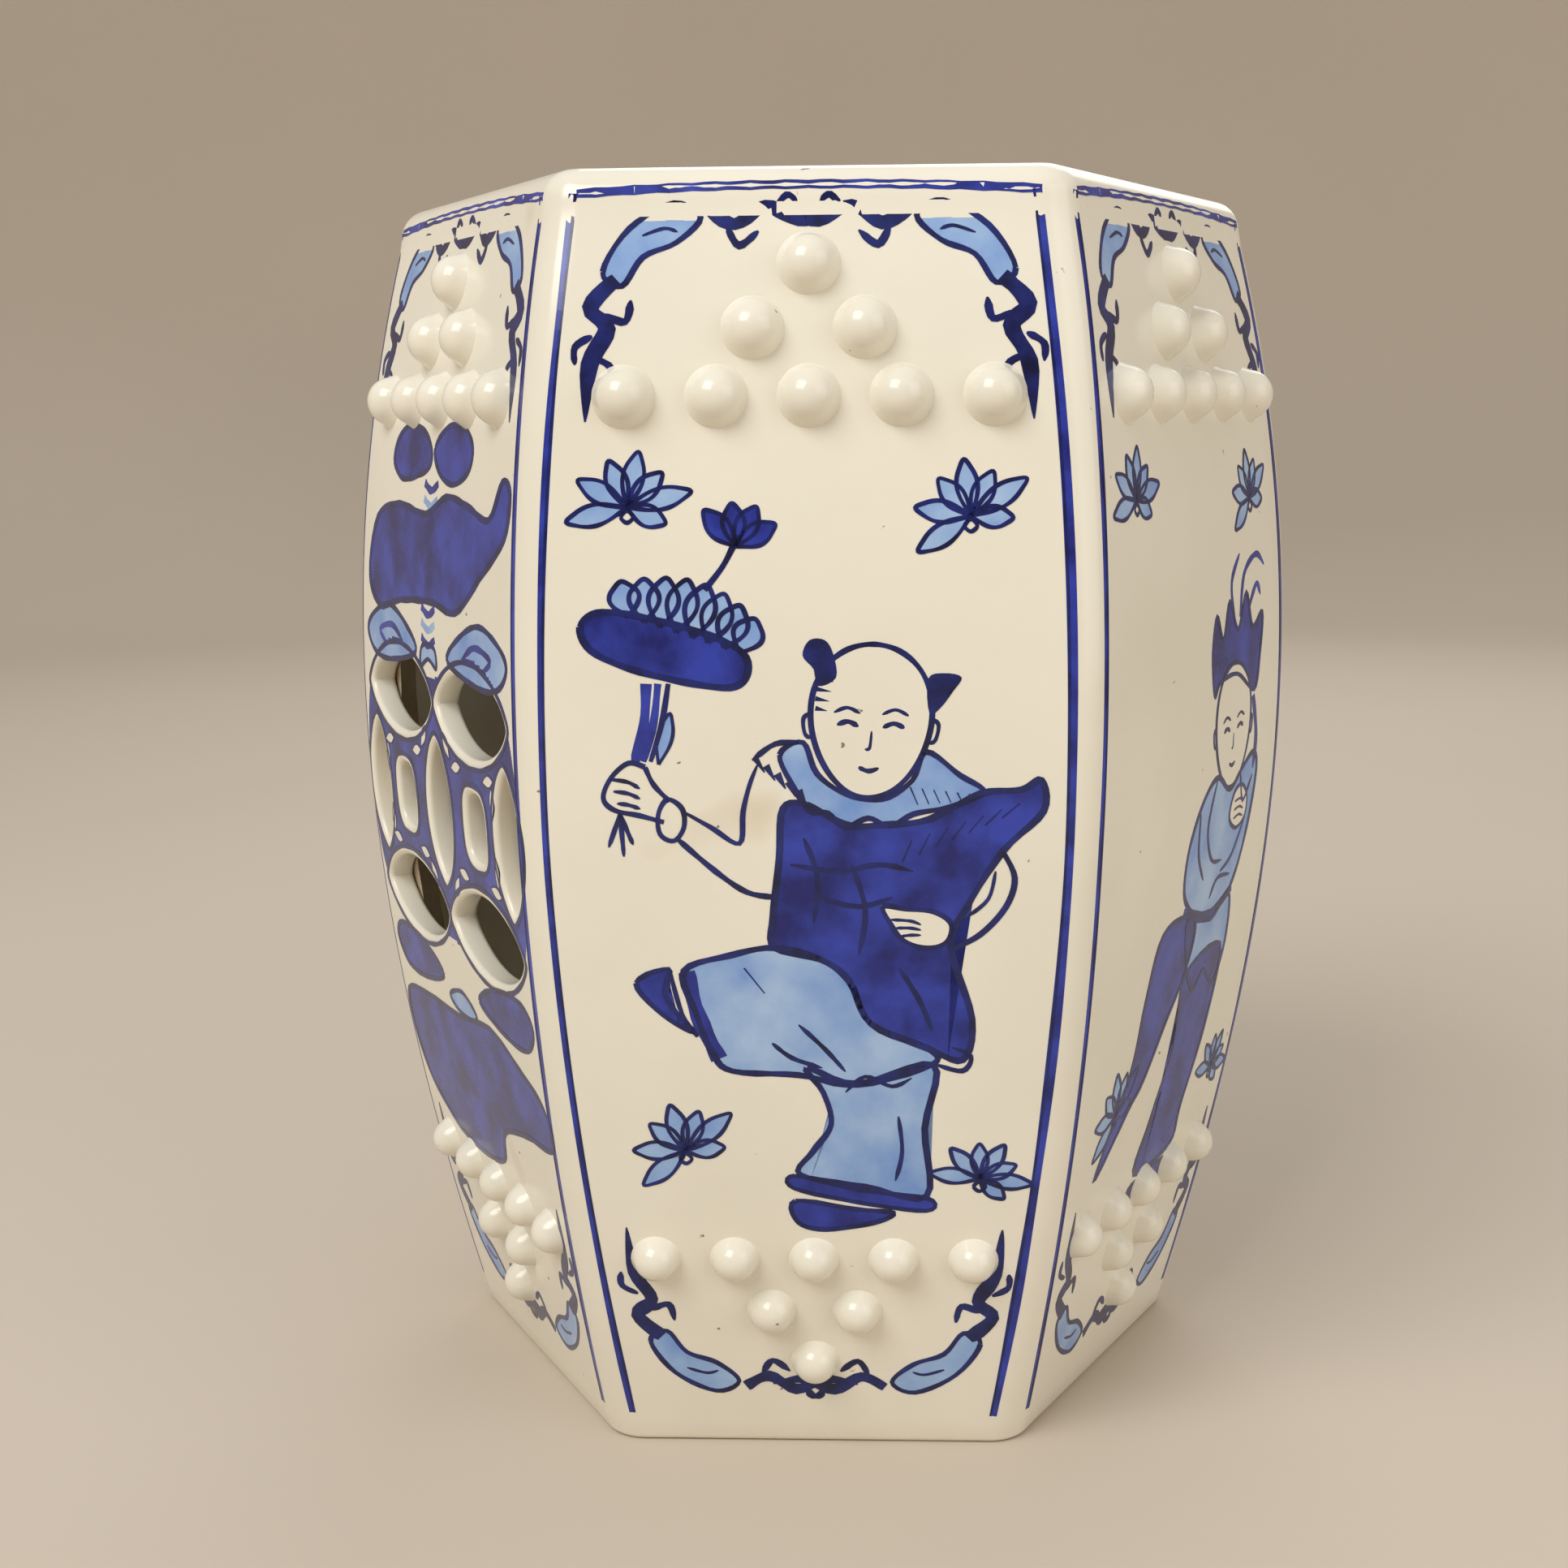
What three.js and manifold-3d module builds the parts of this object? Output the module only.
// Six-sided porcelain lantern, slab built: six bowed wall slabs mitred at the corners and luted with clay
// coils, a pierced top slab, a base ring, and a tealight that stands inside on the same surface.
import * as THREE from 'three';
import { mergeVertices } from 'three/addons/utils/BufferGeometryUtils.js';
import Module from 'manifold-3d';

const wasm = await Module();
wasm.setup();

// Driving sizes, millimetres
const height = 200;
const footCircumradius = 64.2;
const topCircumradius = 71.5;
const belly = 14.8;
const bellyLift = 2.2;
const wall = 4.3;
const cornerRadius = 7;
const lutingGap = 0.3;
const topSlabThickness = 6;
const shoulderRadius = 5;
const baseThickness = 6;
const baseHoleRadius = 40;
const coilLeg = 7;
const boss = { radius: 4.8, height: 4.4, sink: 1.2 };
const topBossRows = [
  { count: 5, pitch: 13.2, fromEnd: 32.5 },
  { count: 2, pitch: 16, fromEnd: 23 },
  { count: 1, pitch: 0, fromEnd: 14 },
];
const footBossRows = [
  { count: 5, pitch: 12.4, fromEnd: 35 },
  { count: 2, pitch: 13.5, fromEnd: 25.5 },
  { count: 1, pitch: 0, fromEnd: 16 },
];
const cash = {
  centreHeight: 101,
  coinOffset: 17.5,
  cutThrough: 12,
  oval: { length: 32, breadth: 13.5, rise: 18 },
  middleLens: { length: 23, breadth: 11 },
  outerLens: { length: 22, breadth: 10, offset: 32 },
  eye: { width: 10, tall: 12 },
};
const vent = { eyeSide: 9, lensLength: 24, lensBreadth: 9, lensOffset: 15 };
const tealight = {
  radius: 19,
  height: 16,
  skin: 0.8,
  waxDepth: 12,
  meltDish: 0.8,
  fit: 0.3,
  sustainerRadius: 6,
  sustainerThickness: 0.6,
  neckRadius: 1.9,
  neckHeight: 1.2,
  wickRadius: 1,
  wickLength: 17,
};

// Facet counts
const wallSteps = 12;
const cornerSteps = 3;
const bossSides = 8;
const openingSteps = 7;
const roundSides = 24;
const holeSides = 36;

// The corner lines stand half a side's turn away from each face's middle line
const mitre = Math.PI / 6;
const sideTurn = Math.PI / 3;
const mitreGap = lutingGap / 2 / Math.cos(mitre);

const glaze = { color: 0xe9e4d3, roughness: 0.12, metalness: 0 };
const bareClay = { color: 0xd9cbb2, roughness: 0.8, metalness: 0 };
const foil = { color: 0xc9cbce, roughness: 0.3, metalness: 1 };
const wax = { color: 0xf3eedf, roughness: 0.45, metalness: 0 };
const cotton = { color: 0xe8e2d2, roughness: 0.9, metalness: 0 };

// Distance from the axis to a sharp corner of the hexagon at height z
function circumradius(z) {
  const t = z / height;
  const bow = 4 * t * (1 - t);
  const taper = footCircumradius + (topCircumradius - footCircumradius) * t;
  return taper + belly * bow + bellyLift * bow * (2 * t - 1);
}

// Distance from the axis to a face at height z
function apothem(z) {
  return circumradius(z) * Math.cos(mitre);
}

// Outward normal of the front face at height z
function faceNormal(z) {
  const step = 0.5;
  const slope = (apothem(z + step) - apothem(z - step)) / (2 * step);
  return new THREE.Vector3(0, -1, -slope).normalize();
}

// Even heights from low to high, both ends included
function levels(low, high, steps) {
  return Array.from({ length: steps + 1 }, (_, i) => low + (high - low) * i / steps);
}

// Closed skin through sections of equal point count, each listed anticlockwise seen from above
function loft(sections) {
  const count = sections[0].length;
  const last = (sections.length - 1) * count;
  const indices = [];
  for (let s = 0; s < last; s += count) {
    for (let i = 0; i < count; i += 1) {
      const a = s + i;
      const b = s + (i + 1) % count;
      indices.push(a, b, b + count, a, b + count, a + count);
    }
  }
  const outline = sections[0].map(([x, y]) => new THREE.Vector2(x, y));
  for (const [a, b, c] of THREE.ShapeUtils.triangulateShape(outline, [])) {
    indices.push(c, b, a, last + a, last + b, last + c);
  }
  const geometry = new THREE.BufferGeometry();
  geometry.setAttribute('position', new THREE.Float32BufferAttribute(sections.flat(2), 3));
  geometry.setIndex(indices);
  return geometry;
}

// Closed geometry to a solid that can be joined and cut
function solid(geometry) {
  const bare = new THREE.BufferGeometry();
  bare.setAttribute('position', geometry.getAttribute('position'));
  bare.setIndex(geometry.getIndex());
  const merged = mergeVertices(bare, 1e-4);
  const index = merged.getIndex().array;
  const triangles = [];
  for (let i = 0; i < index.length; i += 3) {
    const [a, b, c] = [index[i], index[i + 1], index[i + 2]];
    if (a !== b && b !== c && c !== a) {
      triangles.push(a, b, c);
    }
  }
  const vertProperties = Float32Array.from(merged.getAttribute('position').array);
  return new wasm.Manifold(new wasm.Mesh({ numProp: 3, vertProperties, triVerts: new Uint32Array(triangles) }));
}

// Solid back to a geometry
function geometryOf(body) {
  const mesh = body.getMesh();
  const geometry = new THREE.BufferGeometry();
  geometry.setAttribute('position', new THREE.BufferAttribute(mesh.vertProperties, 3));
  geometry.setIndex(new THREE.BufferAttribute(mesh.triVerts, 1));
  return geometry;
}

// Half of a corner's round, as [across, outward] pairs from the flat face to the mitre
function cornerRound(radius, outward) {
  const centre = outward - radius / Math.cos(mitre);
  return levels(0, mitre, cornerSteps).map((turn) => [
    centre * Math.sin(mitre) + radius * Math.sin(turn),
    centre * Math.cos(mitre) + radius * Math.cos(turn),
  ]);
}

// Section of the front wall slab at height z: rounded outside, flat inside, mitred ends
function wallSection(z) {
  const round = cornerRound(cornerRadius, circumradius(z));
  round[cornerSteps][0] -= mitreGap;
  const inner = apothem(z) - wall;
  const innerHalf = inner * Math.tan(mitre) - mitreGap;
  const left = [...round].reverse().map(([u, v]) => [-u, -v, z]);
  const right = round.map(([u, v]) => [u, -v, z]);
  return [...left, ...right, [innerHalf, -inner, z], [-innerHalf, -inner, z]];
}

// One applied dome on the front face
function bossAt(across, z) {
  const { radius, height: rise, sink } = boss;
  const profile = [[0, -sink], [radius, -sink], [radius * 0.97, rise * 0.35], [radius * 0.66, rise * 0.82], [0, rise]];
  const dome = new THREE.LatheGeometry(profile.map(([r, y]) => new THREE.Vector2(r, y)), bossSides);
  const turn = new THREE.Quaternion().setFromUnitVectors(new THREE.Vector3(0, 1, 0), faceNormal(z));
  dome.applyQuaternion(turn);
  dome.translate(across, -apothem(z), z);
  return solid(dome);
}

// Rows of bosses that narrow towards the slab's end
function bossRow(row, z) {
  const start = -row.pitch * (row.count - 1) / 2;
  return Array.from({ length: row.count }, (_, i) => bossAt(start + row.pitch * i, z));
}

// Almond outline between two arcs, lying along x or standing along y
function almond(length, breadth, x, y, upright) {
  const half = length / 2;
  const point = (along, side) => {
    const across = side * breadth / 2 * (1 - (along / half) ** 2) ** 0.75;
    return upright ? new THREE.Vector2(x - across, y + along) : new THREE.Vector2(x + along, y + across);
  };
  const turns = levels(0, Math.PI, openingSteps);
  const upper = turns.map((turn) => point(half * Math.cos(turn), 1));
  const lower = turns.slice(1, -1).map((turn) => point(-half * Math.cos(turn), -1));
  return new THREE.Shape([...upper, ...lower]);
}

// Square outline set on its point
function lozenge(width, tall, x, y) {
  const corners = [[width / 2, 0], [0, tall / 2], [-width / 2, 0], [0, -tall / 2]];
  return new THREE.Shape(corners.map(([dx, dy]) => new THREE.Vector2(x + dx, y + dy)));
}

// Nine outlines of the double-cash piercing, across and up the slab
function cashOutlines() {
  const { coinOffset, centreHeight: z, oval, middleLens, outerLens, eye } = cash;
  const outlines = [almond(middleLens.length, middleLens.breadth, 0, z, true)];
  for (const side of [-1, 1]) {
    const x = side * coinOffset;
    outlines.push(almond(oval.length, oval.breadth, x, z + oval.rise, false));
    outlines.push(almond(oval.length, oval.breadth, x, z - oval.rise, false));
    outlines.push(almond(outerLens.length, outerLens.breadth, side * outerLens.offset, z, true));
    outlines.push(lozenge(eye.width, eye.tall, x, z));
  }
  return outlines;
}

// Cutter through the front wall along its outline
function wallCutter(outline) {
  const depth = wall + 2 * cash.cutThrough;
  const prism = new THREE.ExtrudeGeometry(outline, { depth, bevelEnabled: false });
  prism.rotateX(Math.PI / 2);
  prism.translate(0, cash.cutThrough + wall - apothem(cash.centreHeight), 0);
  return solid(prism);
}

// A wall slab with its bosses, pierced or plain, in the front position
function wallSlab(pierced) {
  const top = height - topSlabThickness - lutingGap;
  let slab = solid(loft(levels(0, top, wallSteps).map(wallSection)));
  for (const row of topBossRows) {
    bossRow(row, height - row.fromEnd).forEach((dome) => { slab = slab.add(dome); });
  }
  for (const row of footBossRows) {
    bossRow(row, row.fromEnd).forEach((dome) => { slab = slab.add(dome); });
  }
  if (pierced) {
    cashOutlines().forEach((outline) => { slab = slab.subtract(wallCutter(outline)); });
  }
  return geometryOf(slab);
}

// Full hexagon outline with rounded corners at height z, drawn in by inset
function hexSection(z, inset, outlineHeight) {
  const outward = circumradius(outlineHeight) - inset / Math.cos(mitre);
  const round = cornerRound(Math.max(cornerRadius - inset, 1), outward);
  const half = [...round.slice(1).reverse().map(([u, v]) => [-u, v]), ...round];
  const section = [];
  for (let side = 0; side < 6; side += 1) {
    const turn = side * sideTurn;
    for (const [u, v] of half.slice(0, -1)) {
      section.push([u * Math.cos(turn) + v * Math.sin(turn), u * Math.sin(turn) - v * Math.cos(turn), z]);
    }
  }
  return section;
}

// Top slab with a rounded shoulder, pierced by an eye and four lenses
function topSlab() {
  const low = height - topSlabThickness;
  const turns = levels(0, Math.PI / 2, 4);
  const sections = [hexSection(low, 0, low)];
  for (const turn of turns) {
    const z = height - shoulderRadius + shoulderRadius * Math.sin(turn);
    sections.push(hexSection(z, shoulderRadius * (1 - Math.cos(turn)), low));
  }
  let slab = solid(loft(sections));
  const { eyeSide, lensLength, lensBreadth, lensOffset } = vent;
  const outlines = [lozenge(eyeSide, eyeSide, 0, 0)];
  for (const side of [-1, 1]) {
    outlines.push(almond(lensLength, lensBreadth, 0, side * lensOffset, false));
    outlines.push(almond(lensLength, lensBreadth, side * lensOffset, 0, true));
  }
  for (const outline of outlines) {
    const cutter = new THREE.ExtrudeGeometry(outline, { depth: 3 * topSlabThickness, bevelEnabled: false });
    cutter.translate(0, 0, height - 2 * topSlabThickness);
    slab = slab.subtract(solid(cutter));
  }
  return geometryOf(slab);
}

// Flat ring inside the foot of the walls, open in the middle for the tealight
function baseRing() {
  const plate = [0, baseThickness].map((z) => {
    const radius = (apothem(z) - wall - lutingGap) / Math.cos(mitre);
    return Array.from({ length: 6 }, (_, i) => {
      const turn = mitre + i * sideTurn + Math.PI / 6;
      return [radius * Math.cos(turn), radius * Math.sin(turn), z];
    });
  });
  const hole = new THREE.CylinderGeometry(baseHoleRadius, baseHoleRadius, 4 * baseThickness, holeSides);
  hole.rotateX(Math.PI / 2);
  return geometryOf(solid(loft(plate)).subtract(solid(hole)));
}

// Clay coil pressed into an inner corner; drawn on +X and turned to its corner
function seamCoil() {
  const low = baseThickness + lutingGap;
  const high = height - topSlabThickness - lutingGap;
  const sections = levels(low, high, wallSteps).map((z) => {
    const tip = (apothem(z) - wall - lutingGap) / Math.cos(mitre);
    const legX = coilLeg * Math.sin(mitre);
    const legY = coilLeg * Math.cos(mitre);
    const hollow = tip - legX + coilLeg * 0.12;
    return [[tip - legX, -legY, z], [tip, 0, z], [tip - legX, legY, z], [hollow, legY / 2, z], [hollow, -legY / 2, z]];
  });
  return loft(sections);
}

// Turned piece from [radius, height] pairs
function turned(profile) {
  const points = profile.map(([r, z]) => new THREE.Vector2(r, z));
  const shape = new THREE.LatheGeometry(points, roundSides);
  shape.rotateX(Math.PI / 2);
  return geometryOf(solid(shape));
}

// Thin cup that holds the wax
function tealightCup() {
  const { radius, height: tall, skin } = tealight;
  return turned([[0, 0], [radius, 0], [radius, tall], [radius - skin, tall], [radius - skin, skin], [0, skin]]);
}

// Wax with a shallow melt dish, a bore for the wick and a recess over the sustainer
function tealightWax() {
  const { radius, skin, fit, waxDepth, meltDish, sustainerRadius, wickRadius } = tealight;
  const floor = skin + fit;
  const ceiling = floor + sustainerTop() + fit;
  const outer = radius - skin - fit;
  const bore = wickRadius + fit;
  const top = floor + waxDepth;
  return turned([
    [bore, ceiling], [sustainerRadius + fit, ceiling], [sustainerRadius + fit, floor], [outer, floor],
    [outer, top], [outer * 0.55, top - meltDish], [bore, top - meltDish], [bore, ceiling],
  ]);
}

// Height of the sustainer above its own underside
function sustainerTop() {
  return tealight.sustainerThickness + tealight.neckHeight;
}

// Disc and neck that hold the wick upright
function wickSustainer() {
  const { skin, fit, sustainerRadius, sustainerThickness, neckRadius } = tealight;
  const floor = skin + fit;
  return turned([
    [0, floor], [sustainerRadius, floor], [sustainerRadius, floor + sustainerThickness],
    [neckRadius, floor + sustainerThickness], [neckRadius, floor + sustainerTop()], [0, floor + sustainerTop()],
  ]);
}

// Wick above the sustainer's neck
function candleWick() {
  const { skin, fit, wickRadius, wickLength } = tealight;
  const low = skin + fit + sustainerTop() + fit;
  return turned([[0, low], [wickRadius, low], [wickRadius * 0.9, low + wickLength], [0, low + wickLength]]);
}

const lantern = new THREE.Group();

function addPiece(name, geometry, finish, turn = 0) {
  const piece = new THREE.Mesh(geometry, new THREE.MeshStandardMaterial(finish));
  piece.name = name;
  piece.rotation.z = turn;
  lantern.add(piece);
}

// Walls anticlockwise from the front; every third one is pierced
const plainSlab = wallSlab(false);
const piercedSlab = wallSlab(true);
const walls = [
  ['wall_front', plainSlab],
  ['wall_right_front', plainSlab],
  ['wall_right_back', piercedSlab],
  ['wall_back', plainSlab],
  ['wall_left_back', plainSlab],
  ['wall_left_front', piercedSlab],
];
walls.forEach(([name, geometry], i) => addPiece(name, geometry, glaze, i * sideTurn));
addPiece('top_slab', topSlab(), glaze);
addPiece('base_ring', baseRing(), bareClay);
const coil = seamCoil();
for (let i = 0; i < 6; i += 1) {
  addPiece(`seam_coil_${i + 1}`, coil, bareClay, i * sideTurn - sideTurn);
}
addPiece('tealight_cup', tealightCup(), foil);
addPiece('tealight_wax', tealightWax(), wax);
addPiece('wick_sustainer', wickSustainer(), foil);
addPiece('wick', candleWick(), cotton);

export default lantern;
